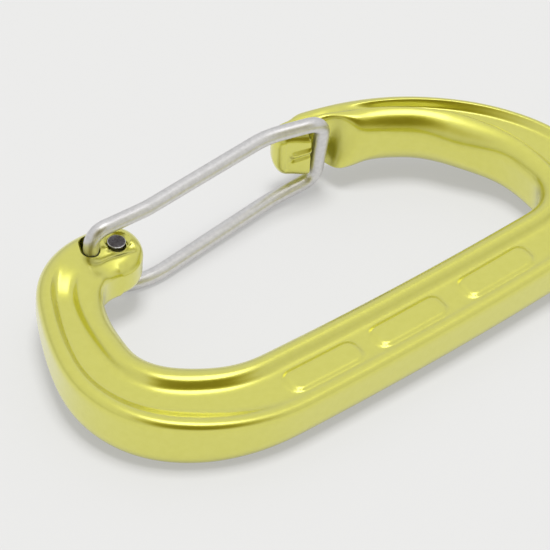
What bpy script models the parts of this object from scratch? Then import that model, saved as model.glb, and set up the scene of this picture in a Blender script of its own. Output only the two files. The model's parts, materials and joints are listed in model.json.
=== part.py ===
"""Wire-gate carabiner: a forged I-beam body and a one-piece bent wire gate.

It lies flat: +Z runs through its thickness and z = 0 is the body's symmetry plane. +X runs along
the spine from the gate hinge towards the rope basket, and +Y runs from the spine to the gate.
Sizes are in millimetres in the constants and become metres in the meshes.
"""

import math

import bmesh
import bpy
from mathutils import Vector

MM = 0.001

# Body centreline, seen from +Z: it starts in the hinge head, runs round the hinge bend, along the
# spine and round the basket, and ends in the nose. Each arc is (length, turn to the left in degrees).
HEAD_CENTRE = (-24.3, 17.66)
HEAD_HEADING = 166.8
ARCS = (
    (12.0, 75.5),   # hinge shoulder
    (13.5, 18.5),   # flank above the bend
    (13.2, 56.0),   # hinge bend
    (16.6, 42.2),   # run-in to the spine
    (49.5, 4.8),    # spine
    (16.3, 89.8),   # basket corner
    (10.8, 26.4),   # basket
    (28.7, 50.4),   # gate-side arm
    (3.6, -12.0),   # nose
)

# Width in plan and thickness along the centreline: (distance from the head centre, size).
WIDTHS = (
    (0.0, 9.9), (12.0, 9.6), (25.5, 11.0), (38.7, 12.0), (55.3, 11.2),
    (104.8, 10.3), (121.1, 9.8), (131.9, 7.8), (143.0, 6.3), (151.0, 6.1), (160.6, 6.0), (164.2, 4.0),
)
THICKNESSES = (
    (0.0, 6.6), (12.0, 7.0), (24.0, 8.8), (36.0, 9.6),
    (150.0, 9.6), (155.0, 9.8), (160.0, 9.3), (164.2, 8.8),
)
GROOVE_DEPTHS = ((8.0, 0.0), (14.0, 1.3), (34.0, 1.5), (140.0, 1.5), (157.0, 0.0))

# How much lower the outer rim is than the inner one, and how far the window side stands in further.
OUTER_DROPS = ((6.0, 0.0), (20.0, 0.3), (40.0, 0.7), (56.0, 1.2), (108.0, 1.2), (130.0, 0.4), (157.0, 0.0))
INNER_EXTRAS = ((126.0, 0.0), (137.0, 0.8), (145.0, 0.0))
OUTER_ROUND = 2.0
INNER_ROUND = 2.2
CREST = 0.5
GROOVE_FLANK = 0.9
SECTION_STEP = 2.0
ROUND_STEPS = 3
CAP_STEPS = 6

# Wire gate: one wire, bent round the nose, with a leg in each of two offset holes of the head.
# The lower leg goes right through, and its end is peened over.
WIRE_D = 2.3
WIRE_SIDES = 12
LEG_UPPER = (-26.95, 18.3)
LEG_LOWER = (-22.8, 17.8)
LEG_UPPER_END = -1.6
LEG_LOWER_END = 3.0
PEENED_R = 1.33
PEENED_DEPTH = 0.35
PEENED_EDGE = 0.05
LOOP_HALF = 6.6
CROSSBAR_TOP = 6.6
CROSSBAR_BOTTOM = 5.7
UPPER_RUN = ((-17.6, 17.9), (5.4, 19.8), (14.25, 17.6))
LOWER_RUN = ((-17.6, 16.3), (6.4, 19.2), (14.1, 18.7))
ELBOW_R = 2.2
BEND_R = 14.0
CORNER_R = 2.3

# Gate hinge: parallel to Z, a quarter of the way from the lower leg to the upper one. The gate
# turns clockwise as it opens.
PIVOT_SHARE = 0.25
GATE_PIVOT = tuple(low + PIVOT_SHARE * (up - low) for low, up in zip(LEG_LOWER, LEG_UPPER))
GATE_OPEN = math.radians(32.0)
HOLE_R = WIRE_D / 2 + 0.3
HOLE_SIDES = 10

# Notch behind the nose hook that takes the crossbar: low and high corners in plan.
NOTCH_LOW = (12.6, 13.0)
NOTCH_HIGH = (15.75, 20.4)

# Relief on both faces of the nose, which lets the gate's strands pass closer to the middle plane.
RELIEF = ((4.0, 13.0), (20.2, 13.0), (17.6, 17.2), (15.9, 20.6), (4.0, 21.4))
RELIEF_HALF = 4.15

CUTTER_HALF = 15.0


def clear_scene():
    for obj in list(bpy.data.objects):
        bpy.data.objects.remove(obj, do_unlink=True)


def profile(stations, s):
    """Smooth value at distance s through (distance, value) stations, level beyond both ends."""
    if s <= stations[0][0]:
        return stations[0][1]
    if s >= stations[-1][0]:
        return stations[-1][1]
    i = next(k for k in range(1, len(stations)) if s <= stations[k][0])
    (s0, v0), (s1, v1) = stations[i - 1], stations[i]

    def slope(k):
        if k in (0, len(stations) - 1):
            return 0.0
        before = (stations[k][1] - stations[k - 1][1]) / (stations[k][0] - stations[k - 1][0])
        after = (stations[k + 1][1] - stations[k][1]) / (stations[k + 1][0] - stations[k][0])
        return 0.0 if before * after <= 0 else 2 * before * after / (before + after)

    length = s1 - s0
    t = (s - s0) / length
    rise = t * t * (3 - 2 * t)
    start = t * (1 - t) ** 2 * length * slope(i - 1)
    end = t * t * (t - 1) * length * slope(i)
    return v0 + (v1 - v0) * rise + start + end


def centreline():
    """Stations along the body: (distance, x, y, heading in radians)."""
    x, y = HEAD_CENTRE
    heading = math.radians(HEAD_HEADING)
    s = 0.0
    stations = [(s, x, y, heading)]
    for length, turn in ARCS:
        steps = max(2, math.ceil(length / SECTION_STEP))
        step = length / steps
        step_turn = math.radians(turn) / steps
        for _ in range(steps):
            x += step * math.cos(heading + step_turn / 2)
            y += step * math.sin(heading + step_turn / 2)
            heading += step_turn
            s += step
            stations.append((s, x, y, heading))
    return stations


def half_section(width, thickness, groove, drop, extra):
    """Top half of the I-beam section, from the outer wall to the window: (offset, z) points."""
    a, b = width / 2, thickness / 2
    low, wall = b - drop, a + extra
    web = b - max(groove, drop)
    outer = min(OUTER_ROUND, 0.9 * a, 0.9 * low)
    inner = min(INNER_ROUND, 0.9 * a, 0.9 * b)
    points = []
    for k in range(ROUND_STEPS + 1):
        angle = math.pi / 2 * k / ROUND_STEPS
        points.append((-a + outer * (1 - math.cos(angle)), low - outer * (1 - math.sin(angle))))
    room = max(0.0, width - outer - inner)
    crest = min(CREST, room / 6)
    flank = min(GROOVE_FLANK, room / 6)
    left, right = -a + outer + crest, wall - inner - crest
    points += [(left, low), (left + flank, web), (right - flank, web), (right, b)]
    for k in range(ROUND_STEPS, -1, -1):
        angle = math.pi / 2 * k / ROUND_STEPS
        points.append((wall - inner * (1 - math.cos(angle)), b - inner * (1 - math.sin(angle))))
    return points


def ring(x, y, heading, width, thickness, groove=0.0, drop=0.0, extra=0.0):
    """Closed section loop in world millimetres, offset to the left of the heading."""
    half = half_section(width, thickness, groove, drop, extra)
    loop = half + [(u, -z) for u, z in reversed(half)]
    side = (-math.sin(heading), math.cos(heading))
    return [(x + u * side[0], y + u * side[1], z) for u, z in loop]


def cap_rings(x, y, heading, width, thickness, outward):
    """Rings of a rounded end, from the full section outwards. outward is -1 at the head, 1 at the nose."""
    rings = []
    for k in range(1, CAP_STEPS + 1):
        angle = math.pi / 2 * k / (CAP_STEPS + 0.5)
        reach = outward * width / 2 * math.sin(angle)
        shrink = math.cos(angle)
        px, py = x + reach * math.cos(heading), y + reach * math.sin(heading)
        rings.append(ring(px, py, heading, width * shrink, thickness))
    return rings


def skin(bm, rings):
    """Faces between rings of equal length, with both ends closed."""
    loops = [[bm.verts.new(Vector(p) * MM) for p in points] for points in rings]
    count = len(loops[0])
    for near, far in zip(loops, loops[1:]):
        for i in range(count):
            j = (i + 1) % count
            bm.faces.new((near[i], near[j], far[j], far[i]))
    bm.faces.new(list(reversed(loops[0])))
    bm.faces.new(loops[-1])
    bmesh.ops.recalc_face_normals(bm, faces=bm.faces)


def new_object(name, bm, material=None, smooth_angle=30.0):
    mesh = bpy.data.meshes.new(name)
    bm.to_mesh(mesh)
    bm.free()
    mesh.shade_smooth()
    mesh.set_sharp_from_angle(angle=math.radians(smooth_angle))
    obj = bpy.data.objects.new(name, mesh)
    bpy.context.scene.collection.objects.link(obj)
    if material:
        mesh.materials.append(material)
    return obj


def metal(name, colour, roughness):
    material = bpy.data.materials.new(name)
    material.use_nodes = True
    shader = material.node_tree.nodes["Principled BSDF"]
    shader.inputs["Base Color"].default_value = (*colour, 1.0)
    shader.inputs["Metallic"].default_value = 1.0
    shader.inputs["Roughness"].default_value = roughness
    return material


def prism_cutter(name, outline, low, high):
    """Upright prism on an XY outline, used to cut the body."""
    bm = bmesh.new()
    base = [bm.verts.new(Vector((x, y, low)) * MM) for x, y in outline]
    face = bm.faces.new(base)
    extruded = bmesh.ops.extrude_face_region(bm, geom=[face])
    moved = [item for item in extruded["geom"] if isinstance(item, bmesh.types.BMVert)]
    bmesh.ops.translate(bm, verts=moved, vec=(0, 0, (high - low) * MM))
    bmesh.ops.recalc_face_normals(bm, faces=bm.faces)
    cutter = new_object(name, bm)
    cutter.hide_render = True
    cutter.display_type = "WIRE"
    return cutter


def turned(point, angle):
    """Plan point carried by the gate when it opens by the angle."""
    dx, dy = point[0] - GATE_PIVOT[0], point[1] - GATE_PIVOT[1]
    c, s = math.cos(-angle), math.sin(-angle)
    return GATE_PIVOT[0] + dx * c - dy * s, GATE_PIVOT[1] + dx * s + dy * c


def hole_outline(leg):
    """Slightly long hole: a round hole swept from the leg's closed place to its open place."""
    far = turned(leg, GATE_OPEN)
    along = math.atan2(far[1] - leg[1], far[0] - leg[0])
    outline = []
    for centre, start in ((far, along - math.pi / 2), (leg, along + math.pi / 2)):
        for k in range(HOLE_SIDES + 1):
            angle = start + math.pi * k / HOLE_SIDES
            outline.append((centre[0] + HOLE_R * math.cos(angle), centre[1] + HOLE_R * math.sin(angle)))
    return outline


def cut(obj, cutter):
    modifier = obj.modifiers.new(cutter.name, "BOOLEAN")
    modifier.operation = "DIFFERENCE"
    modifier.solver = "EXACT"
    modifier.object = cutter


def forged_body():
    stations = centreline()
    _, x, y, heading = stations[0]
    head = cap_rings(x, y, heading, profile(WIDTHS, 0.0), profile(THICKNESSES, 0.0), -1)
    rings = list(reversed(head))
    for s, x, y, heading in stations:
        tables = (WIDTHS, THICKNESSES, GROOVE_DEPTHS, OUTER_DROPS, INNER_EXTRAS)
        rings.append(ring(x, y, heading, *(profile(table, s) for table in tables)))
    s, x, y, heading = stations[-1]
    rings += cap_rings(x, y, heading, profile(WIDTHS, s), profile(THICKNESSES, s), 1)
    bm = bmesh.new()
    skin(bm, rings)
    body = new_object("forged_body", bm, metal("anodised_lime", (0.60, 0.60, 0.08), 0.25))
    (x0, y0), (x1, y1) = NOTCH_LOW, NOTCH_HIGH
    notch = ((x0, y0), (x1, y0), (x1, y1), (x0, y1))
    cut(body, prism_cutter("cut_notch", notch, -CUTTER_HALF, CUTTER_HALF))
    cut(body, prism_cutter("cut_relief_top", RELIEF, RELIEF_HALF, CUTTER_HALF))
    cut(body, prism_cutter("cut_relief_bottom", RELIEF, -CUTTER_HALF, -RELIEF_HALF))
    cut(body, prism_cutter("cut_hole_upper", hole_outline(LEG_UPPER), -2.0, CUTTER_HALF))
    cut(body, prism_cutter("cut_hole_lower", hole_outline(LEG_LOWER), -CUTTER_HALF, CUTTER_HALF))
    return body


def rounded_route(corners, radii, step_angle=math.radians(15)):
    """Points of a route through corners, each rounded by an arc of its radius."""
    corners = [Vector(c) for c in corners]
    route = [corners[0]]
    for before, corner, after, radius in zip(corners, corners[1:], corners[2:], radii):
        back, ahead = (before - corner).normalized(), (after - corner).normalized()
        turn = math.pi - back.angle(ahead)
        reach = radius * math.tan(turn / 2)
        centre = corner + (back + ahead).normalized() * (radius / math.cos(turn / 2))
        start = corner + back * reach - centre
        end = corner + ahead * reach - centre
        steps = max(2, math.ceil(turn / step_angle))
        for k in range(steps + 1):
            t = k / steps
            spoke = (start * math.sin((1 - t) * turn) + end * math.sin(t * turn)) / math.sin(turn)
            route.append(centre + spoke)
    route.append(corners[-1])
    return route


def wire_route():
    """Gate wire from the end of its upper leg, round the nose, to the end of its lower leg."""
    corners = [(*LEG_UPPER, LEG_UPPER_END), (*LEG_UPPER, LOOP_HALF)]
    corners += [(*UPPER_RUN[0], LOOP_HALF), (*UPPER_RUN[1], LOOP_HALF)]
    corners += [(*UPPER_RUN[2], CROSSBAR_TOP), (*LOWER_RUN[2], -CROSSBAR_BOTTOM)]
    corners += [(*LOWER_RUN[1], -LOOP_HALF), (*LOWER_RUN[0], -LOOP_HALF)]
    corners += [(*LEG_LOWER, -LOOP_HALF), (*LEG_LOWER, LEG_LOWER_END)]
    radii = (ELBOW_R, BEND_R, BEND_R, CORNER_R, CORNER_R, BEND_R, BEND_R, ELBOW_R)
    return rounded_route(corners, radii)


def wire_gate():
    route = wire_route()
    end = route.pop()
    neck = end - Vector((0, 0, PEENED_DEPTH))
    radii = [WIRE_D / 2] * (len(route) + 1) + [PEENED_R, PEENED_R]
    route += [neck, neck + Vector((0, 0, PEENED_EDGE)), end]
    rings = []
    side = Vector((1, 0, 0))
    for i, (point, radius) in enumerate(zip(route, radii)):
        ahead = route[min(i + 1, len(route) - 1)] - route[max(i - 1, 0)]
        ahead.normalize()
        side = (side - ahead * side.dot(ahead)).normalized()
        other = ahead.cross(side)
        angles = [2 * math.pi * k / WIRE_SIDES for k in range(WIRE_SIDES)]
        rings.append([point + (side * math.cos(a) + other * math.sin(a)) * radius for a in angles])
    bm = bmesh.new()
    skin(bm, rings)
    gate = new_object("wire_gate", bm, metal("stainless_wire", (0.60, 0.60, 0.60), 0.30), 45.0)
    return gate


def main():
    clear_scene()
    forged_body()
    gate = wire_gate()
    hinge = bpy.data.objects.new("gate_hinge", None)
    hinge.location = Vector((*GATE_PIVOT, 0.0)) * MM
    bpy.context.scene.collection.objects.link(hinge)
    gate.parent = hinge
    bpy.context.view_layer.update()
    gate.location = -hinge.location


main()
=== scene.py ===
"""Wire-gate carabiner: the forged body and the bent wire gate, with a floor, light and camera."""

import json
import math

import bpy
import numpy as np
from mathutils import Matrix, Vector


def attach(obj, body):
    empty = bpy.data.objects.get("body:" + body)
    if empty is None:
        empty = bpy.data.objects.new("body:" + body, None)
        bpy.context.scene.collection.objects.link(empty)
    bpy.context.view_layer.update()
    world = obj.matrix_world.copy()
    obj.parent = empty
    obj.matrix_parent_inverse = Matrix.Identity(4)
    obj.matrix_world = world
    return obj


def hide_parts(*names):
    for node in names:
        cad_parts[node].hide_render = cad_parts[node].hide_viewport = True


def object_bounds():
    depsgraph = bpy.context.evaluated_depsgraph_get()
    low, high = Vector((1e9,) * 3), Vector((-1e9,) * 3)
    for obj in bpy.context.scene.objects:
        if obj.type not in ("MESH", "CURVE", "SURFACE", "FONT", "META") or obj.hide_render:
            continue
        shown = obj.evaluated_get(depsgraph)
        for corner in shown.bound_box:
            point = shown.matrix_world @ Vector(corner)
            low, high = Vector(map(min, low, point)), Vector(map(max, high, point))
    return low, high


bl_info = {
    "name": "Wire-gate carabiner",
    "version": (1, 0, 0),
    "blender": (4, 5, 0),
    "location": "View3D > Sidebar > Carabiner",
    "description": "Builds a forged wire-gate carabiner and a plain studio round it",
    "category": "Add Mesh",
}

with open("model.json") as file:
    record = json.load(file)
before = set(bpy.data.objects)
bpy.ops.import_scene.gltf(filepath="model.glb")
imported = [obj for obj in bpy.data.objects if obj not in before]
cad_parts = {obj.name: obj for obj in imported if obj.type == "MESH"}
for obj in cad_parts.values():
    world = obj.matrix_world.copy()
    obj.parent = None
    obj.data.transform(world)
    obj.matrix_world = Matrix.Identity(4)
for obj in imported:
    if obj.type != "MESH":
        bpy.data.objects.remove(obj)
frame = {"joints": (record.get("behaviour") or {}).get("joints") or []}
CAD_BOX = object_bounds()

MM = 0.001

# Body centreline in millimetres, seen from above: from the hinge head round the bend, along the
# spine and round the basket to the nose. Each arc is (length, turn to the left in degrees).
HEAD_CENTRE = (-24.3, 17.66)
HEAD_HEADING = 166.8
ARCS = (
    (12.0, 75.5),   # hinge shoulder
    (13.5, 18.5),   # flank above the bend
    (13.2, 56.0),   # hinge bend
    (16.6, 42.2),   # run-in to the spine
    (49.5, 4.8),    # spine
    (16.3, 89.8),   # basket corner
    (10.8, 26.4),   # basket
    (28.7, 50.4),   # gate-side arm
    (3.6, -12.0),   # nose
)
LENGTH = sum(length for length, _ in ARCS)
BLEND_LENGTH = 4.0
BLEND_SAMPLES = 21
CENTRELINE_SAMPLES = 4001

# Section sizes in millimetres along the centreline: (distance from the head centre, size). Each
# section has an outer rim, a web and an inner rim, which is the one on the window side.
WIDTHS = (
    (0.0, 9.9), (12.0, 9.6), (25.5, 11.0), (38.7, 12.0), (55.3, 11.2), (104.8, 10.3),
    (121.1, 9.8), (131.9, 7.8), (143.0, 6.3), (151.0, 6.1), (160.6, 6.0), (164.2, 4.0),
)
THICKNESSES = ((0.0, 6.6), (12.0, 7.0), (24.0, 8.8), (36.0, 9.6), (150.0, 9.6), (164.2, 9.6))
# How far the web lies below the inner crest. It is never above the outer one.
GROOVE_DEPTHS = (
    (6.4, 0.0), (12.4, 1.5), (40.0, 1.5), (60.0, 1.5), (108.0, 1.5),
    (140.0, 1.4), (149.0, 1.1), (157.5, 0.0),
)
# How far the window side stands out past the half width.
INNER_EXTRAS = (
    (28.0, 0.0), (44.0, 0.45), (56.0, 0.35), (104.0, 0.2), (126.0, 0.0),
    (137.0, 0.8), (145.0, 0.0), (151.0, 0.0), (156.0, 0.4), (160.0, 0.0),
)
# How far the outer crest lies below the inner one.
OUTER_DROPS = (
    (6.0, 0.0), (20.0, 0.2), (40.0, 0.35), (57.0, 1.2), (108.0, 1.2), (130.0, 0.4), (157.0, 0.2),
)
# From each wall to the middle of the flank that falls to the web, and that flank's width.
INNER_RIMS = (
    (10.0, 4.0), (22.0, 4.0), (34.0, 4.0), (46.0, 3.6), (60.0, 3.0), (122.0, 3.1), (136.0, 3.3),
)
OUTER_RIMS = ((10.0, 2.5), (25.0, 2.5), (40.0, 2.9), (56.0, 2.0), (108.0, 1.7), (136.0, 1.5))
INNER_FLANKS = ((10.0, 1.6), (25.0, 1.8), (40.0, 2.4), (60.0, 1.8), (108.0, 1.8), (140.0, 1.4))
OUTER_FLANKS = ((10.0, 0.9), (22.0, 0.9), (42.0, 2.4), (60.0, 1.0), (164.0, 0.9))
# Rounding between each wall and its crest.
OUTER_ROUNDS = ((0.0, 2.6), (16.0, 1.6), (40.0, 1.3), (60.0, 1.0), (136.0, 1.0), (158.0, 1.8))
OUTER_ROUNDS_BELOW = ((0.0, 2.4), (30.0, 2.2), (110.0, 2.2), (140.0, 1.4), (158.0, 1.8))
INNER_ROUNDS = (
    (0.0, 1.3), (8.0, 1.4), (20.0, 2.6), (46.0, 2.4), (60.0, 2.0),
    (125.0, 2.4), (140.0, 3.0), (151.0, 2.6), (156.0, 1.6),
)
INNER_ROUND_HEIGHTS = (
    (0.0, 1.3), (8.0, 1.4), (20.0, 2.6), (46.0, 2.4), (60.0, 2.2),
    (125.0, 2.6), (140.0, 3.9), (149.0, 3.3), (156.0, 1.5),
)

# Shares that keep the stretches of a section from crossing, and the least width of its web.
MOST_ROUND = 0.9
MOST_FLANK = 0.35
LEAST_WEB = 0.1

# How many points each stretch of the upper half section has, from the outer wall to the window.
SECTION_POINTS = {
    "outer_wall": 7, "outer_round": 14, "outer_crest": 3, "outer_flank": 9, "web": 16,
    "inner_flank": 19, "inner_crest": 3, "inner_round": 15, "inner_wall": 20,
}
SECTION_SMOOTHING = 10

# Share of the inner flank's rise that comes in one soft step, and where on the flank it comes.
FLANK_STEP = 0.45
FLANK_STEP_SPAN = (0.36, 0.64)

# Edges sharper than this are shaded as edges.
SHADING_EDGE = math.radians(40.0)

# Sections stand closer together round the nose's notch: (distance, half length, share closer).
CLOSER_STATIONS = (LENGTH - 3.0, 7.0, 0.68)

# Rounded ends of the body: steps of each cap, the share of a step by which its tip is blunt, the
# rounding of each end's edges, and the length over which the nose thins out.
CAP_STEPS = 16
BLUNT_TIP = 0.35
HEAD_DOME = 2.0
NOSE_EDGE_DOME = 0.5
NOSE_DOME = 2.6

# Plain raised pads along the spine's web, with a soft edge on each side of their outline. Only
# points further than PAD_LOWEST from the middle plane move.
SPINE_SPAN = (50.0, 110.0)
PAD_CENTRES = (-13.3, 2.0, 18.3)
PAD_HALF_LENGTH = 6.2
PAD_HALF_WIDTH = 2.0
PAD_OFFSET = -0.9
PAD_CORNER = 1.5
PAD_EDGE = 0.4
PAD_LOWEST = 2.2

# Gate wire: one wire bent round the nose, with a leg in each of two offset holes of the head.
# RING_STEP is millimetres along it, and one unit of its V coordinate is WIRE_PER_UV of them.
LEG_UPPER = (-26.95, 18.3)
LEG_LOWER = (-22.8, 17.8)
LEG_UPPER_END = -1.6
LEG_LOWER_END = 3.0
LOOP_HALF = 6.594
CROSSBAR_TOP = 6.594
CROSSBAR_BOTTOM = 5.7
UPPER_RUN = ((-17.6, 17.9), (5.4, 19.8), (14.25, 17.6))
LOWER_RUN = ((-17.6, 16.3), (6.4, 19.2), (14.1, 18.7))
ELBOW_R = 2.2
BEND_R = 14.0
CORNER_R = 2.3
BEND_STEP = math.radians(4.0)
RING_STEP = 0.3
RING_SIDES = 32
ROUTE_SMOOTHING = 3
WIRE_SHADING_EDGE = math.radians(50.0)
WIRE_PER_UV = 10.0
CUT_EDGE = 0.18
GATE_JOINT = next(joint for joint in frame["joints"] if joint["name"] == "gate_hinge")
GATE_PIVOT = tuple(value / MM for value in GATE_JOINT["pos_m"][:2])
GATE_OPEN = math.radians(GATE_JOINT["range_deg"][1])

# Peened end of the lower leg: rings as (share of its depth, share of the spread to its radius).
PEENED_R = 1.33
PEENED_DEPTH = 0.18
PEENED_EDGE = 0.08
PEENED_RINGS = ((1.2, 0.0), (1.0, 0.7), (0.8, 1.0), (0.2, 1.0))

# The two holes, a little wider at the head's faces: levels as (height, extra radius).
HOLE_CLEARANCE = 0.15
HOLE_SIDES = 24
HOLE_REACH = 12.0
HEAD_FACE = THICKNESSES[0][1] / 2
UPPER_HOLE = (
    (-2.0, 0.0), (HEAD_FACE - 0.3, 0.0), (HEAD_FACE + 0.05, 0.3), (HOLE_REACH, 0.3),
)
LOWER_HOLE = (
    (-HOLE_REACH, 0.45), (-HEAD_FACE - 0.05, 0.45), (-HEAD_FACE + 0.45, 0.0), (HOLE_REACH, 0.0),
)

# Top of the head: the seat round the peened end, a hollow beside it, and a slope to the window.
# Each pair is where a change starts and where it is complete.
HEAD_TOP = (1.2, 2.4)
SEAT_DEPTH = 0.62
SEAT_EDGE = (PEENED_R + 0.05, PEENED_R + 0.6)
HOLLOW_DEPTH = 0.6
HOLLOW_ALONG = ((-4.4, -2.6), (2.2, 5.2))
HOLLOW_ACROSS = ((-0.4, 1.45), (1.6, 2.6))
SLOPE_DEPTH = 0.6
SLOPE_ACROSS = (1.5, 4.6)
SLOPE_END = (3.0, 8.0)

# Notch behind the nose hook, and the relief on both faces that lets the gate's strands pass.
NOTCH_START = LENGTH - 20.0
NOTCH_X = (12.6, 15.4)
NOTCH_EDGE = 0.22
NOTCH_LEAN = 0.4
NOTCH_LEAN_HEIGHTS = (-5.5, 5.0)
NOTCH_WALL_LOW = 0.7
NOTCH_WALL_SPREAD = 2.4
NOTCH_RIM = 1.8
NOTCH_SOFTNESS = 0.6
NOTCH_KEEP = 0.32
RELIEF_X = (15.0, 20.0)
RELIEF_Y = (19.8, 23.2)
RELIEF_HEIGHTS = (0.8, 4.6)
RELIEF_DEPTH = 0.65
RELIEF_BELOW = 0.48

# Inner face of the nose: a half-round ridge and a groove, both climbing towards the notch, and a
# crease near the tip. Each is (how far it moves the wall, its place, its half width).
NOSE_FACE_START = (LENGTH - 9.0, LENGTH - 7.0)
NOSE_FACE_X = ((9.7, 10.5), (12.0, 12.8))
NOSE_FACE_WALL = (0.3, 0.9)
RIDGE_CLIMB = 0.6
RIDGE_X = 11.2
RIDGE = (0.46, 1.0, 0.75)
RIDGE_GROOVE = (-0.36, -0.25, 0.55)
CREASE = (-0.14, 9.5, 0.4)
CREASE_HEIGHTS = (2.6, 3.8)

# Inner wall of the arm: the forging's parting line, (how far it moves the wall, its height, its
# half width), and small marks in patches, (wavelength, seed).
ARM_WALL = (0.75, 0.97)
PARTING = (0.05, -2.9, 0.25)
PARTING_START = (108.0, 120.0)
PARTING_END = LENGTH - 11.5
MARKS = (1.1, 5)
MARK_PATCHES = (3.0, 8)
MARK_PATCH_EDGE = (0.5, 1.3)
MARKS_START = (LENGTH - 22.0, LENGTH - 15.0)
MARKS_END = LENGTH - 6.0

# The plane that the carabiner lies on touches the spine and the gate's lower strand.
FLOOR_NORMAL = (0.0, 0.0904, 0.9959)
FLOOR_OFFSET = -6.17
FLOOR_GLOW = 0.4
FLOOR_HALF = 3000.0
FLOOR_CELLS = 24

# Studio tent: directions in which it is dark, in front, and bright, from the lamp overhead.
# Stops are (cosine of the angle from the direction, colour).
UPWARDS = (0.0, 0.0, 1.0)
FRONT_DARK = tuple(Vector((-0.36, -0.68, 0.64)).normalized())
LAMP = tuple(Vector((0.05, -0.06, 1.0)).normalized())
HORIZON_STOPS = (
    (0.0, (0.56, 0.56, 0.56)), (0.12, (0.64, 0.64, 0.64)),
    (0.34, (0.80, 0.80, 0.80)), (1.0, (0.84, 0.84, 0.84)),
)
FRONT_STOPS = ((0.74, (1.0, 1.0, 1.0)), (0.85, (0.70, 0.65, 0.34)), (0.93, (0.25, 0.21, 0.03)))
LAMP_STOPS = ((0.945, (0.0, 0.0, 0.0)), (0.985, (1.0, 1.0, 1.0)))
LAMP_LAYERS = 2

# Soft light from overhead, which the shiny metal doesn't mirror.
SUN_FROM = (0.02, 0.08, 0.997)
SUN_ANGLE = math.radians(22.0)
SUN_ENERGY = 4.2

# Camera: a long lens, looking down on the hinge end and the spine.
CAMERA_TARGET = (-6.19, 1.78, 0.0)
CAMERA_RIGHT = (0.79864, -0.60004, 0.04617)
CAMERA_UP = (0.41044, 0.59917, 0.68741)
CAMERA_BACK = (-0.44014, -0.53004, 0.72480)
CAMERA_DISTANCE = 800.0
FRAME_WIDTH = 79.02
SENSOR_WIDTH = 36.0
CAMERA_REACH = 20.0


class CarabinerSizes(bpy.types.PropertyGroup):
    """Sizes that a user would change"""

    wire_diameter: bpy.props.FloatProperty(
        name="Wire diameter", description="Diameter of the gate wire",
        default=0.0023, min=0.0015, max=0.003, unit="LENGTH", precision=4)
    pad_height: bpy.props.FloatProperty(
        name="Pad height", description="How far the plain pads stand up from the spine's web",
        default=0.00045, min=0.0, max=0.001, unit="LENGTH", precision=5)
    station_step: bpy.props.FloatProperty(
        name="Mesh step", description="Distance between sections of the body mesh",
        default=0.00042, min=0.0002, max=0.002, unit="LENGTH", precision=5)
    forging_marks: bpy.props.FloatProperty(
        name="Forging marks", description="Depth of the small marks on the arm's inner wall",
        default=0.00006, min=0.0, max=0.0002, unit="LENGTH", precision=6)


class CarabinerColours(bpy.types.PropertyGroup):
    """Colours and finishes that a user would change"""

    anodising: bpy.props.FloatVectorProperty(
        name="Anodising", description="Colour of the dyed oxide on the forged body",
        default=(0.735, 0.715, 0.08), min=0.0, max=1.0, size=3, subtype="COLOR")
    anodising_deep: bpy.props.FloatVectorProperty(
        name="Deep anodising", description="Slightly richer colour in the tumbled texture",
        default=(0.715, 0.695, 0.07), min=0.0, max=1.0, size=3, subtype="COLOR")
    wire: bpy.props.FloatVectorProperty(
        name="Wire", description="Colour of the stainless gate wire",
        default=(0.76, 0.75, 0.75), min=0.0, max=1.0, size=3, subtype="COLOR")
    floor: bpy.props.FloatVectorProperty(
        name="Floor", description="Colour of the plain floor",
        default=(0.2, 0.2, 0.2), min=0.0, max=1.0, size=3, subtype="COLOR")


def colours():
    return bpy.context.scene.carabiner_colours


def sizes():
    return bpy.context.scene.carabiner_sizes


# Shared maths

def smoothstep(low, high, value):
    t = np.clip((value - low) / (high - low), 0.0, 1.0)
    return t * t * (3 - 2 * t)


def between_edges(edges, value):
    """Smooth rise to 1 over the first edge's span, and fall to 0 over the second's."""
    return smoothstep(*edges[0], value) * (1 - smoothstep(*edges[1], value))


def bump(value, centre, half):
    """Smooth rise to 1 at the centre that falls to 0 at half away from it."""
    return np.cos(np.clip((value - centre) / half, -1.0, 1.0) * math.pi / 2) ** 2


def bead(shape, value):
    """Raised or sunken bead: shape is its height, its place and its half width."""
    height, place, half = shape
    return height * bump(value, place, half)


def profile(stations, distances):
    """Smooth values through (distance, value) stations: no overshoot, and level at both ends."""
    at, value = np.array(stations).T
    secant = np.diff(value) / np.diff(at)
    slope = np.zeros(len(at))
    product = secant[:-1] * secant[1:]
    total = secant[:-1] + secant[1:]
    turning = product > 0
    slope[1:-1][turning] = 2 * product[turning] / total[turning]
    inside = np.clip(distances, at[0], at[-1])
    i = np.clip(np.searchsorted(at, inside, side="right") - 1, 0, len(at) - 2)
    length = at[i + 1] - at[i]
    t = (inside - at[i]) / length
    rise = value[i] + (value[i + 1] - value[i]) * t * t * (3 - 2 * t)
    return rise + length * (slope[i] * t * (1 - t) ** 2 + slope[i + 1] * t * t * (t - 1))


def smooth_loops(loops, passes):
    """Rounds the corners of closed loops of points: the last axis but one runs round each loop."""
    for _ in range(passes):
        before, after = np.roll(loops, 1, axis=-2), np.roll(loops, -1, axis=-2)
        loops = loops / 2 + (before + after) / 4
    return loops


def noise_waves(points, wavelength, seed, count=24):
    """Smooth noise, mostly between -2 and 2: a sum of plane waves in fixed random directions."""
    rng = np.random.default_rng(seed)
    directions = rng.normal(size=(count, 3))
    directions /= np.linalg.norm(directions, axis=1)[:, None]
    waves = directions * (2 * math.pi / wavelength) * rng.uniform(0.6, 1.6, count)[:, None]
    phases = rng.uniform(0, 2 * math.pi, count)
    return np.sin(points @ waves.T + phases).sum(axis=-1) / math.sqrt(count)


# Body centreline and sections

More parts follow.
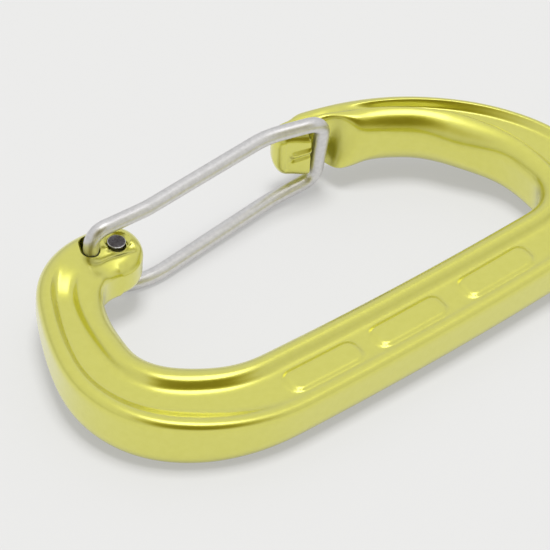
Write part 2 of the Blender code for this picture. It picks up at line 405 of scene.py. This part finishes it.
def heading_at(distances):
    """Heading in radians with the steps in curvature between arcs blended out."""
    ends = np.cumsum([0.0] + [length for length, _ in ARCS])
    turns = np.radians(np.cumsum([HEAD_HEADING] + [turn for _, turn in ARCS]))
    window = np.linspace(-BLEND_LENGTH / 2, BLEND_LENGTH / 2, BLEND_SAMPLES)
    near = distances[:, None] + window[None, :]
    inside = np.interp(near, ends, turns)
    first = math.radians(ARCS[0][1]) / ARCS[0][0]
    last = math.radians(ARCS[-1][1]) / ARCS[-1][0]
    inside += first * np.minimum(near - ends[0], 0.0) + last * np.maximum(near - ends[-1], 0.0)
    return inside.mean(axis=1)


def centreline(distances):
    """Plan points and headings at distances along the body."""
    fine = np.linspace(0.0, LENGTH, CENTRELINE_SAMPLES)
    heading = heading_at(fine)
    steps = np.diff(fine)
    middle = (heading[:-1] + heading[1:]) / 2
    x = HEAD_CENTRE[0] + np.concatenate([[0], np.cumsum(np.cos(middle) * steps)])
    y = HEAD_CENTRE[1] + np.concatenate([[0], np.cumsum(np.sin(middle) * steps)])
    return tuple(np.interp(distances, fine, values) for values in (x, y, heading))


def station_distances():
    """Distances of the sections, closer together at the notch, where the shape turns sharply."""
    step = sizes().station_step / MM
    centre, half, closer = CLOSER_STATIONS
    marks = [0.0]
    while marks[-1] < LENGTH:
        near = float(bump(np.array(marks[-1]), centre, half))
        marks.append(marks[-1] + step * (1.0 - closer * near))
    marks = np.array(marks)
    return marks * LENGTH / marks[-1]


def between(start, end, count):
    """Even steps from start up to, not on, end: one row a station."""
    t = np.arange(count) / count
    return start[:, None] + (end - start)[:, None] * t


def quarter_turn(count):
    return np.arange(count)[None, :] / count * math.pi / 2


def half_sections(s, outer_rounds):
    """Half sections from the outer wall to the window: offsets and heights, one row a station."""
    a = profile(WIDTHS, s) / 2
    crest_in = profile(THICKNESSES, s) / 2
    crest_out = crest_in - profile(OUTER_DROPS, s)
    web = crest_in - np.maximum(profile(GROOVE_DEPTHS, s), crest_in - crest_out)
    round_out = np.minimum(profile(outer_rounds, s), MOST_ROUND * a)
    round_in = np.minimum(profile(INNER_ROUNDS, s), MOST_ROUND * a)
    high_out = np.minimum(round_out, MOST_ROUND * crest_out)
    high_in = np.minimum(profile(INNER_ROUND_HEIGHTS, s), MOST_ROUND * crest_in)
    room = 2 * a - round_out - round_in
    flank_in = np.minimum(profile(INNER_FLANKS, s), room * MOST_FLANK)
    flank_out = np.minimum(profile(OUTER_FLANKS, s), room * MOST_FLANK)
    at_in = a - np.clip(profile(INNER_RIMS, s), round_in + flank_in / 2, None)
    at_out = -a + np.clip(profile(OUTER_RIMS, s), round_out + flank_out / 2, None)
    at_in = np.maximum(at_in, at_out + flank_in / 2 + flank_out / 2 + LEAST_WEB)
    at_in = np.minimum(at_in, a - round_in - flank_in / 2)
    n = SECTION_POINTS
    zero = np.zeros_like(a)
    angle = quarter_turn(n["outer_round"])
    u = [np.repeat(-a[:, None], n["outer_wall"], axis=1)]
    z = [between(zero, crest_out - high_out, n["outer_wall"])]
    u.append(-a[:, None] + round_out[:, None] * (1 - np.cos(angle)))
    z.append(crest_out[:, None] - high_out[:, None] * (1 - np.sin(angle)))
    u.append(between(-a + round_out, at_out - flank_out / 2, n["outer_crest"]))
    z.append(np.repeat(crest_out[:, None], n["outer_crest"], axis=1))
    t = np.arange(n["outer_flank"]) / n["outer_flank"]
    u.append(between(at_out - flank_out / 2, at_out + flank_out / 2, n["outer_flank"]))
    z.append(crest_out[:, None] + (web - crest_out)[:, None] * smoothstep(0, 1, t))
    u.append(between(at_out + flank_out / 2, at_in - flank_in / 2, n["web"]))
    z.append(np.repeat(web[:, None], n["web"], axis=1))
    t = np.arange(n["inner_flank"]) / n["inner_flank"]
    u.append(between(at_in - flank_in / 2, at_in + flank_in / 2, n["inner_flank"]))
    rise = (1 - FLANK_STEP) * t + FLANK_STEP * smoothstep(*FLANK_STEP_SPAN, t)
    z.append(web[:, None] + (crest_in - web)[:, None] * rise)
    u.append(between(at_in + flank_in / 2, a - round_in, n["inner_crest"]))
    z.append(np.repeat(crest_in[:, None], n["inner_crest"], axis=1))
    angle = math.pi / 2 - quarter_turn(n["inner_round"])
    u.append(a[:, None] - round_in[:, None] * (1 - np.cos(angle)))
    z.append(crest_in[:, None] - high_in[:, None] * (1 - np.sin(angle)))
    u.append(np.repeat(a[:, None], n["inner_wall"] + 1, axis=1))
    t = np.arange(n["inner_wall"] + 1) / n["inner_wall"]
    z.append((crest_in - high_in)[:, None] * (1 - t)[None, :])
    u, z = np.concatenate(u, axis=1), np.concatenate(z, axis=1)
    wider = 1 + (profile(INNER_EXTRAS, s) / a)[:, None]
    return np.where(u > 0, u * wider, u), z


def section_loops(s):
    """Closed sections, smoothed, as (station, point, (offset, height))."""
    u, z = half_sections(s, OUTER_ROUNDS)
    lower_u, lower_z = half_sections(s, OUTER_ROUNDS_BELOW)
    u = np.concatenate([u, lower_u[:, -2:0:-1]], axis=1)
    z = np.concatenate([z, -lower_z[:, -2:0:-1]], axis=1)
    return smooth_loops(np.stack([u, z], axis=-1), SECTION_SMOOTHING)


def cap_loops(loop, s, outward, dome):
    """Reaches past a rounded end, positive past the nose, and the shrunken section at each one."""
    a = float(profile(WIDTHS, np.array([s]))[0]) / 2
    half = np.abs(loop[:, 1]).max()
    reaches, loops = [], []
    for k in range(1, CAP_STEPS + 1):
        angle = math.pi / 2 * k / (CAP_STEPS + BLUNT_TIP)
        reach, shrink = a * math.sin(angle), math.cos(angle)
        ring = loop.copy()
        ring[:, 0] *= shrink
        inset = a - np.hypot(reach, ring[:, 0])
        short = np.clip(dome - inset, 0.0, dome)
        ceiling = half - dome + np.sqrt(dome * dome - short * short)
        ring[:, 1] = np.sign(loop[:, 1]) * np.minimum(np.abs(loop[:, 1]), ceiling)
        reaches.append(outward * reach)
        loops.append(ring)
    return np.array(reaches), np.array(loops)


# Details of the forging, as moves of the section points

def pad_mask(x, offset):
    """1 on the plain pads of the spine, 0 off them, with soft edges."""
    mask = np.zeros_like(x)
    for centre in PAD_CENTRES:
        dx = np.abs(x - centre) - (PAD_HALF_LENGTH - PAD_CORNER)
        dy = np.abs(offset - PAD_OFFSET) - (PAD_HALF_WIDTH - PAD_CORNER)
        outside = np.hypot(np.maximum(dx, 0), np.maximum(dy, 0))
        outside += np.minimum(np.maximum(dx, dy), 0)
        mask = np.maximum(mask, 1 - smoothstep(-PAD_EDGE, PAD_EDGE, outside - PAD_CORNER))
    return mask


def raise_pads(x, u, z, s):
    """Heights with the pads raised from the web, the same on both faces."""
    on_spine = (s > SPINE_SPAN[0]) & (s < SPINE_SPAN[1])
    lift = sizes().pad_height / MM * pad_mask(x, u) * on_spine
    on_face = np.abs(z) > PAD_LOWEST
    return z + np.sign(z) * lift * on_face


def dish_head(x, y, s, u, z):
    """Seat round the lower leg's end as far as it swings, the hollow beside it and the slope."""
    top = smoothstep(*HEAD_TOP, z)
    start, end = np.array(LEG_LOWER), np.array(turned(LEG_LOWER, GATE_OPEN))
    run = end - start
    share = np.clip(((x - start[0]) * run[0] + (y - start[1]) * run[1]) / run.dot(run), 0.0, 1.0)
    away = np.hypot(x - start[0] - share * run[0], y - start[1] - share * run[1])
    seat = SEAT_DEPTH * (1 - smoothstep(*SEAT_EDGE, away))
    hollow = HOLLOW_DEPTH * between_edges(HOLLOW_ALONG, s) * between_edges(HOLLOW_ACROSS, u)
    slope = SLOPE_DEPTH * smoothstep(*SLOPE_ACROSS, u) * (1 - smoothstep(*SLOPE_END, s))
    return z - top * np.maximum(seat, hollow) - top * slope


def squeeze_notch(x, s, u, z, a):
    """Offsets with the crossbar's notch pressed in from the window side, and its leaning wall."""
    lean = smoothstep(*NOTCH_LEAN_HEIGHTS, z)
    wall = NOTCH_X[1] + NOTCH_LEAN * lean
    past_wall = np.maximum(x - wall, 0) / (NOTCH_WALL_LOW + NOTCH_WALL_SPREAD * lean)
    open_left = smoothstep(NOTCH_X[0] - NOTCH_EDGE, NOTCH_X[0] + NOTCH_EDGE, x)
    open_right = np.exp(-past_wall * past_wall)
    depth = open_left * open_right * (s > NOTCH_START)
    past = u + a - NOTCH_RIM
    squeezed = (past + np.sqrt(past * past + NOTCH_SOFTNESS ** 2)) / 2
    return u - (1 - NOTCH_KEEP) * depth * squeezed


def relieve_faces(x, y, z, s):
    """Lowers both faces round the nose, the upper one more, with a soft edge."""
    inside = (1 - smoothstep(*RELIEF_X, x)) * (1 - smoothstep(*RELIEF_Y, y))
    above = RELIEF_DEPTH * smoothstep(*RELIEF_HEIGHTS, z)
    below = RELIEF_BELOW * smoothstep(*RELIEF_HEIGHTS, -z)
    return z - (s > NOTCH_START) * inside * (above - below)


def shape_nose_face(x, s, u, z, a):
    """Half-round ridge, groove and crease on the nose's inner face."""
    near = smoothstep(*NOSE_FACE_START, s)
    wall = smoothstep(*NOSE_FACE_WALL, u / a)
    level = z - RIDGE_CLIMB * (x - RIDGE_X)
    ridge = (bead(RIDGE, level) + bead(RIDGE_GROOVE, level)) * between_edges(NOSE_FACE_X, x)
    crease = bead(CREASE, x) * (1 - smoothstep(*CREASE_HEIGHTS, np.abs(z)))
    return u + wall * near * (ridge + crease)


def mark_wall(points, s, share):
    """How far the inner wall moves out for the parting line and the small forging marks."""
    parting = bead(PARTING, points[..., 2]) * smoothstep(*PARTING_START, s) * (s < PARTING_END)
    patches = smoothstep(*MARK_PATCH_EDGE, noise_waves(points, *MARK_PATCHES))
    marks = sizes().forging_marks / MM * noise_waves(points, *MARKS) * patches
    marked = smoothstep(*MARKS_START, s) * (s < MARKS_END)
    return smoothstep(*ARM_WALL, share) * (parting + marks * marked)


def forged_loops():
    """All sections of the body as points in millimetres, from the head's end to the nose's."""
    s = station_distances()
    loops = section_loops(s)
    x, y, heading = centreline(s)
    head_reach, head = cap_loops(loops[0], 0.0, -1, HEAD_DOME)
    nose_reach, nose = cap_loops(loops[-1], LENGTH, 1, NOSE_EDGE_DOME)
    past = np.concatenate([head_reach[::-1], np.zeros(len(s)), nose_reach])
    loops = np.concatenate([head[::-1], loops, nose])
    ends = (len(head), len(nose))
    s, x, y, turn = (np.pad(values, ends, "edge") for values in (s, x, y, heading))
    x, y = (x + past * np.cos(turn))[:, None], (y + past * np.sin(turn))[:, None]
    a = (profile(WIDTHS, s) / 2)[:, None]
    u, z = loops[..., 0], loops[..., 1]
    s = (s + past)[:, None] + 0 * u
    side_x, side_y = -np.sin(turn)[:, None], np.cos(turn)[:, None]
    z = raise_pads(x + u * side_x, u, z, s)
    z = dish_head(x + u * side_x, y + u * side_y, s, u, z)
    u = shape_nose_face(x + u * side_x, s, u, z, a)
    u = squeeze_notch(x + u * side_x, s, u, z, a)
    z = relieve_faces(x + u * side_x, y + u * side_y, z, s)
    left = np.clip((LENGTH + a[-1, 0] - s) / NOSE_DOME, 0.0, 1.0)
    z = z * np.sqrt(1 - (1 - left) ** 2)
    points = np.stack([x + u * side_x, y + u * side_y, z], axis=-1)
    shift = mark_wall(points, s, u / a)
    points[..., 0] += shift * side_x
    points[..., 1] += shift * side_y
    return inside_box(points)


def inside_box(points):
    """Points with each side of the outline drawn in, by parts of a per cent, to the CAD box."""
    for axis in (0, 1):
        for sign, limit in ((-1, CAD_BOX[0][axis]), (1, CAD_BOX[1][axis])):
            side = points[..., axis] * sign
            share = min(1.0, limit * sign / MM / side.max())
            points[..., axis] *= np.where(side > 0, share, 1.0)
    return points


def mesh_from_loops(name, loops):
    """Closed mesh through loops of points in millimetres, with both ends capped."""
    rings, count = loops.shape[:2]
    points = loops.reshape(-1, 3) * MM
    ring = np.arange(rings - 1)[:, None] * count
    i = np.arange(count)[None, :]
    j = (i + 1) % count
    quads = np.stack([ring + i, ring + count + i, ring + count + j, ring + j], axis=-1)
    last = (rings - 1) * count
    caps = [list(range(count)), list(reversed(range(last, last + count)))]
    mesh = bpy.data.meshes.new(name)
    mesh.from_pydata(points.tolist(), [], quads.reshape(-1, 4).tolist() + caps)
    mesh.update()
    return mesh


def add_object(name, mesh):
    obj = bpy.data.objects.new(name, mesh)
    bpy.context.scene.collection.objects.link(obj)
    return obj


def turned(point, angle):
    """Plan point carried by the gate when it opens by the angle."""
    dx, dy = point[0] - GATE_PIVOT[0], point[1] - GATE_PIVOT[1]
    c, s = math.cos(-angle), math.sin(-angle)
    return GATE_PIVOT[0] + dx * c - dy * s, GATE_PIVOT[1] + dx * s + dy * c


def hole_loop(leg, radius, height):
    """Outline of a leg's hole, a little long so that the leg can swing, at a height."""
    far = turned(leg, GATE_OPEN)
    along = math.atan2(far[1] - leg[1], far[0] - leg[0])
    loop = []
    for centre, start in ((far, along - math.pi / 2), (leg, along + math.pi / 2)):
        for k in range(HOLE_SIDES + 1):
            angle = start + math.pi * k / HOLE_SIDES
            x = centre[0] + radius * math.cos(angle)
            y = centre[1] + radius * math.sin(angle)
            loop.append((x, y, height))
    return loop


def drill(obj, name, levels, leg):
    """Cuts a hole with the radius given at each (height, extra radius) level."""
    radius = sizes().wire_diameter / MM / 2 + HOLE_CLEARANCE
    loops = np.array([hole_loop(leg, radius + extra, height) for height, extra in levels])
    cutter = add_object(name, mesh_from_loops(name, loops[::-1]))
    modifier = obj.modifiers.new(name, "BOOLEAN")
    modifier.operation = "DIFFERENCE"
    modifier.solver = "MANIFOLD"
    modifier.object = cutter
    return cutter


def apply_modifiers(obj, helpers):
    """Makes the modifiers' result the object's own mesh, then removes the helper objects."""
    graph = bpy.context.evaluated_depsgraph_get()
    mesh = bpy.data.meshes.new_from_object(obj.evaluated_get(graph))
    obj.modifiers.clear()
    obj.data = mesh
    for helper in helpers:
        bpy.data.objects.remove(helper, do_unlink=True)


# Gate wire

def rounded_route(corners, radii, step_angle):
    """Points of a route through corners, each rounded by an arc of its radius."""
    corners = [Vector(c) for c in corners]
    route = [corners[0]]
    for before, corner, after, radius in zip(corners, corners[1:], corners[2:], radii):
        back, ahead = (before - corner).normalized(), (after - corner).normalized()
        turn = math.pi - back.angle(ahead)
        reach = radius * math.tan(turn / 2)
        centre = corner + (back + ahead).normalized() * (radius / math.cos(turn / 2))
        start = corner + back * reach - centre
        end = corner + ahead * reach - centre
        steps = max(3, math.ceil(turn / step_angle))
        for k in range(steps + 1):
            t = k / steps
            spoke = (start * math.sin((1 - t) * turn) + end * math.sin(t * turn)) / math.sin(turn)
            route.append(centre + spoke)
    route.append(corners[-1])
    return np.array([list(point) for point in route])


def wire_route():
    """Gate wire from the end of its upper leg, round the nose, to the end of its lower leg."""
    corners = [(*LEG_UPPER, LEG_UPPER_END), (*LEG_UPPER, LOOP_HALF)]
    corners += [(*UPPER_RUN[0], LOOP_HALF), (*UPPER_RUN[1], LOOP_HALF)]
    corners += [(*UPPER_RUN[2], CROSSBAR_TOP), (*LOWER_RUN[2], -CROSSBAR_BOTTOM)]
    corners += [(*LOWER_RUN[1], -LOOP_HALF), (*LOWER_RUN[0], -LOOP_HALF)]
    corners += [(*LEG_LOWER, -LOOP_HALF), (*LEG_LOWER, LEG_LOWER_END)]
    radii = (ELBOW_R, BEND_R, BEND_R, CORNER_R, CORNER_R, BEND_R, BEND_R, ELBOW_R)
    route = rounded_route(corners, radii, BEND_STEP)
    lengths = np.concatenate([[0], np.cumsum(np.linalg.norm(np.diff(route, axis=0), axis=1))])
    marks = np.arange(0.0, lengths[-1], RING_STEP)
    even = np.stack([np.interp(marks, lengths, route[:, k]) for k in range(3)], axis=1)
    return np.vstack([smooth_open(even, ROUTE_SMOOTHING), route[-1]])


def smooth_open(points, passes):
    """Rounds an open run of points and keeps both ends."""
    points = points.copy()
    for _ in range(passes):
        points[1:-1] = points[1:-1] / 2 + (points[:-2] + points[2:]) / 4
    return points


def wire_loops(route, radius):
    """Rings along the route, carried without twist, from the cut end to the peened one."""
    ahead = np.gradient(route, axis=0)
    ahead /= np.linalg.norm(ahead, axis=1)[:, None]
    side = np.array([1.0, 0.0, 0.0])
    angles = np.linspace(0, 2 * math.pi, RING_SIDES, endpoint=False)
    rings = []
    last = len(route) - 1
    for i, point in enumerate(route):
        side = side - ahead[i] * side.dot(ahead[i])
        side /= np.linalg.norm(side)
        other = np.cross(ahead[i], side)
        spokes = np.outer(np.cos(angles), side) + np.outer(np.sin(angles), other)
        if i == 0:
            for inward, inset in ((0.0, 1.0), (0.3, 0.3), (1.0, 0.0)):
                size = radius - inset * CUT_EDGE
                rings.append(point + ahead[i] * inward * CUT_EDGE + spokes * size)
        elif i == last:
            for depth, share in PEENED_RINGS:
                size = (1 - share) * radius + share * PEENED_R
                rings.append(point - ahead[i] * depth * PEENED_DEPTH + spokes * size)
            rings.append(point + spokes * (PEENED_R - PEENED_EDGE))
        elif i < last - 1:
            rings.append(point + spokes * radius)
    return np.array(rings)


# Materials

def new_material(name):
    material = bpy.data.materials.new(name)
    material.use_nodes = True
    return material, material.node_tree, material.node_tree.nodes["Principled BSDF"]


def add_node(tree, kind, **settings):
    node = tree.nodes.new(kind)
    for key, value in settings.items():
        setattr(node, key, value)
    return node


def set_inputs(node, **settings):
    """Sets plain values on sockets, named in lower case with _ for each space."""
    names = {name.lower().replace(" ", "_"): name for name in node.inputs.keys()}
    for key, value in settings.items():
        node.inputs[names[key]].default_value = value
    return node


def colour_sockets(sockets):
    return [socket for socket in sockets if socket.type == "RGBA"]


def noise(tree, scale, detail=3.0, vector=None):
    """Noise in cycles a metre of object coordinates, or in cycles a unit of the vector given."""
    vector = vector or add_node(tree, "ShaderNodeTexCoord").outputs["Object"]
    texture = set_inputs(add_node(tree, "ShaderNodeTexNoise"), scale=scale, detail=detail)
    tree.links.new(vector, texture.inputs["Vector"])
    return texture.outputs["Fac"]


def spread(tree, value, low, high, out_low, out_high):
    """Stretches the range low to high over out_low to out_high."""
    node = add_node(tree, "ShaderNodeMapRange")
    set_inputs(node, from_min=low, from_max=high, to_min=out_low, to_max=out_high)
    tree.links.new(value, node.inputs["Value"])
    return node.outputs["Result"]


def mix_colour(tree, factor, first, second):
    node = add_node(tree, "ShaderNodeMix", data_type="RGBA")
    for socket, colour in zip(colour_sockets(node.inputs), (first, second)):
        socket.default_value = (*colour, 1.0)
    tree.links.new(factor, node.inputs["Factor"])
    return colour_sockets(node.outputs)[0]


def two_tones(tree, shader, scale, first, second):
    """Base colour that drifts in patches between two close tones."""
    factor = spread(tree, noise(tree, scale), 0.35, 0.65, 0.0, 1.0)
    shade = mix_colour(tree, factor, first, second)
    tree.links.new(shade, shader.inputs["Base Color"])


def roughness_range(tree, shader, value, low, high):
    """Roughness that follows a noise, mostly between low and high."""
    rough = spread(tree, value, 0.3, 0.7, low, high)
    tree.links.new(rough, shader.inputs["Roughness"])


def add_bump(tree, shader, height, strength, distance):
    node = set_inputs(add_node(tree, "ShaderNodeBump"), strength=strength, distance=distance)
    tree.links.new(height, node.inputs["Height"])
    tree.links.new(node.outputs["Normal"], shader.inputs["Normal"])


def anodised_lime():
    """Dyed oxide over a tumbled aluminium forging: a satin metal with a thin glossy skin."""
    material, tree, shader = new_material("anodised_lime")
    two_tones(tree, shader, 900.0, colours().anodising, colours().anodising_deep)
    roughness_range(tree, shader, noise(tree, 2500.0, 4.0), 0.285, 0.33)
    set_inputs(shader, metallic=1.0, coat_weight=1.0, coat_roughness=0.15, coat_ior=2.0)
    add_bump(tree, shader, noise(tree, 4000.0, 4.0), 0.03, 0.00005)
    return material


def stainless_wire():
    """Drawn stainless wire: a soft metal shine with faint lines along its length."""
    material, tree, shader = new_material("stainless_wire")
    two_tones(tree, shader, 1500.0, colours().wire, tuple(0.9 * c for c in colours().wire))
    coordinates = add_node(tree, "ShaderNodeUVMap", uv_map="along_wire")
    mapping = set_inputs(add_node(tree, "ShaderNodeMapping"), scale=(60.0, 1.2, 1.0))
    tree.links.new(coordinates.outputs["UV"], mapping.inputs["Vector"])
    lines = noise(tree, 1.0, vector=mapping.outputs["Vector"])
    roughness_range(tree, shader, lines, 0.34, 0.44)
    set_inputs(shader, metallic=1.0)
    add_bump(tree, shader, lines, 0.12, 0.00003)
    return material


def cut_wire_end():
    """Sheared end of the wire: dark, dull and slightly torn."""
    material, tree, shader = new_material("cut_wire_end")
    two_tones(tree, shader, 3500.0, (0.16, 0.15, 0.17), (0.08, 0.07, 0.08))
    roughness_range(tree, shader, noise(tree, 5000.0), 0.45, 0.7)
    set_inputs(shader, metallic=0.6)
    add_bump(tree, shader, noise(tree, 3000.0), 0.5, 0.0001)
    return material


def studio_floor():
    """Plain matt card, lifted a little by its own glow."""
    material, tree, shader = new_material("studio_floor")
    tone = colours().floor
    shade = mix_colour(tree, noise(tree, 40.0), tone, tuple(0.995 * c for c in tone))
    tree.links.new(shade, shader.inputs["Base Color"])
    set_inputs(shader, roughness=0.9, specular_ior_level=0.1)
    set_inputs(shader, emission_color=(1.0, 1.0, 1.0, 1.0), emission_strength=FLOOR_GLOW)
    return material


# Pieces

class CARABINER_OT_forged_body(bpy.types.Operator):
    """Build the forged body with its grooves, pads, hinge holes and hooked nose"""

    bl_idname = "carabiner.forged_body"
    bl_label = "Forged body"

    def execute(self, context):
        body = add_object("carabiner_body", mesh_from_loops("carabiner_body", forged_loops()))
        upper = drill(body, "upper_hole_cutter", UPPER_HOLE, LEG_UPPER)
        lower = drill(body, "lower_hole_cutter", LOWER_HOLE, LEG_LOWER)
        apply_modifiers(body, (upper, lower))
        body.data.materials.clear()
        body.data.materials.append(anodised_lime())
        body.data.shade_smooth()
        body.data.set_sharp_from_angle(angle=SHADING_EDGE)
        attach(body, "body")
        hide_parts("forged_body")
        return {"FINISHED"}


class CARABINER_OT_wire_gate(bpy.types.Operator):
    """Build the bent wire gate with its two hinge legs"""

    bl_idname = "carabiner.wire_gate"
    bl_label = "Wire gate"

    def execute(self, context):
        loops = wire_loops(wire_route(), sizes().wire_diameter / MM / 2)
        gate = add_object("carabiner_gate", mesh_from_loops("carabiner_gate", loops))
        mesh = gate.data
        uv = mesh.uv_layers.new(name="along_wire")
        for polygon in mesh.polygons:
            for loop in polygon.loop_indices:
                ring, side = divmod(mesh.loops[loop].vertex_index, RING_SIDES)
                uv.data[loop].uv = (side / RING_SIDES, ring * RING_STEP / WIRE_PER_UV)
        mesh.materials.append(stainless_wire())
        mesh.materials.append(cut_wire_end())
        for polygon in mesh.polygons:
            if len(polygon.vertices) > 4:
                polygon.material_index = 1
        mesh.shade_smooth()
        mesh.set_sharp_from_angle(angle=WIRE_SHADING_EDGE)
        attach(gate, "gate")
        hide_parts("wire_gate")
        return {"FINISHED"}


def studio_world():
    """Pale tent: brightest overhead, darker in front."""
    world = bpy.data.worlds.new("studio_tent")
    world.use_nodes = True
    tree = world.node_tree
    background = tree.nodes["Background"]
    direction = add_node(tree, "ShaderNodeTexCoord").outputs["Generated"]

    def curve(towards, stops):
        node = add_node(tree, "ShaderNodeVectorMath", operation="DOT_PRODUCT")
        node.inputs[1].default_value = towards
        tree.links.new(direction, node.inputs[0])
        ramp = add_node(tree, "ShaderNodeValToRGB")
        ramp.color_ramp.interpolation = "EASE"
        while len(ramp.color_ramp.elements) < len(stops):
            ramp.color_ramp.elements.new(0.5)
        for element, (place, colour) in zip(ramp.color_ramp.elements, stops):
            element.position = place
            element.color = (*colour, 1.0)
        tree.links.new(node.outputs["Value"], ramp.inputs["Fac"])
        return ramp.outputs["Color"]

    def combine(operation, first, second):
        node = add_node(tree, "ShaderNodeMix", data_type="RGBA", blend_type=operation)
        node.inputs["Factor"].default_value = 1.0
        for socket, source in zip(colour_sockets(node.inputs), (first, second)):
            tree.links.new(source, socket)
        return colour_sockets(node.outputs)[0]

    horizon = curve(UPWARDS, HORIZON_STOPS)
    front = curve(FRONT_DARK, FRONT_STOPS)
    lamp = curve(LAMP, LAMP_STOPS)
    result = combine("MULTIPLY", horizon, front)
    for _ in range(LAMP_LAYERS):
        result = combine("ADD", result, lamp)
    tree.links.new(result, background.inputs["Color"])
    background.inputs["Strength"].default_value = 1.0
    bpy.context.scene.world = world


def studio_sun():
    """Soft light from overhead that gives the floor its shadows. The metal doesn't mirror it."""
    data = bpy.data.lights.new("soft_light", "SUN")
    data.energy = SUN_ENERGY
    data.angle = SUN_ANGLE
    light = bpy.data.objects.new("soft_light", data)
    light.rotation_euler = Vector(SUN_FROM).to_track_quat("Z", "Y").to_euler()
    light.visible_glossy = False
    bpy.context.scene.collection.objects.link(light)


def studio_card():
    """Large floor under the carabiner, tipped as the carabiner rests on it."""
    cells = FLOOR_CELLS
    normal = Vector(FLOOR_NORMAL).normalized()
    across = Vector((1, 0, 0))
    deep = normal.cross(across)
    foot = normal * FLOOR_OFFSET
    grid = np.linspace(-FLOOR_HALF, FLOOR_HALF, cells + 1)
    points = [(foot + across * x + deep * y) * MM for y in grid for x in grid]
    faces = []
    for row in range(cells):
        for column in range(cells):
            corner = row * (cells + 1) + column
            faces.append((corner, corner + 1, corner + cells + 2, corner + cells + 1))
    mesh = bpy.data.meshes.new("studio_floor")
    mesh.from_pydata([tuple(point) for point in points], [], faces)
    mesh.materials.append(studio_floor())
    add_object("studio_floor", mesh)


def studio_camera():
    """Long-lens camera, without shift or blur."""
    data = bpy.data.cameras.new("camera")
    data.sensor_width = SENSOR_WIDTH
    data.lens = SENSOR_WIDTH * CAMERA_DISTANCE / FRAME_WIDTH
    data.clip_end = CAMERA_REACH
    camera = bpy.data.objects.new("camera", data)
    back = Vector(CAMERA_BACK)
    turn = Matrix((CAMERA_RIGHT, CAMERA_UP, CAMERA_BACK)).transposed()
    place = (Vector(CAMERA_TARGET) + back * CAMERA_DISTANCE) * MM
    camera.matrix_world = Matrix.Translation(place) @ turn.to_4x4()
    bpy.context.scene.collection.objects.link(camera)
    bpy.context.scene.camera = camera


class CARABINER_OT_stage(bpy.types.Operator):
    """Add the tent, the soft light, the floor and the camera"""

    bl_idname = "carabiner.stage"
    bl_label = "Stage"

    def execute(self, context):
        studio_world()
        studio_sun()
        studio_card()
        studio_camera()
        context.scene.view_settings.view_transform = "Standard"
        return {"FINISHED"}


class CARABINER_PT_panel(bpy.types.Panel):
    """Sidebar panel with the carabiner's sizes, colours and pieces"""

    bl_idname = "CARABINER_PT_panel"
    bl_label = "Wire-gate carabiner"
    bl_space_type = "VIEW_3D"
    bl_region_type = "UI"
    bl_category = "Carabiner"

    def draw(self, context):
        layout = self.layout
        for group in (context.scene.carabiner_sizes, context.scene.carabiner_colours):
            box = layout.box()
            for name in group.__annotations__:
                box.prop(group, name)
        for piece in PIECES:
            layout.operator(piece.bl_idname)


PIECES = (CARABINER_OT_forged_body, CARABINER_OT_wire_gate, CARABINER_OT_stage)
CLASSES = (CarabinerSizes, CarabinerColours, *PIECES, CARABINER_PT_panel)


def register():
    for cls in CLASSES:
        bpy.utils.register_class(cls)
    bpy.types.Scene.carabiner_sizes = bpy.props.PointerProperty(type=CarabinerSizes)
    bpy.types.Scene.carabiner_colours = bpy.props.PointerProperty(type=CarabinerColours)


def unregister():
    del bpy.types.Scene.carabiner_colours
    del bpy.types.Scene.carabiner_sizes
    for cls in reversed(CLASSES):
        bpy.utils.unregister_class(cls)


def main():
    register()
    bpy.ops.carabiner.stage()
    bpy.ops.carabiner.forged_body()
    bpy.ops.carabiner.wire_gate()


if __name__ == "__main__":
    main()
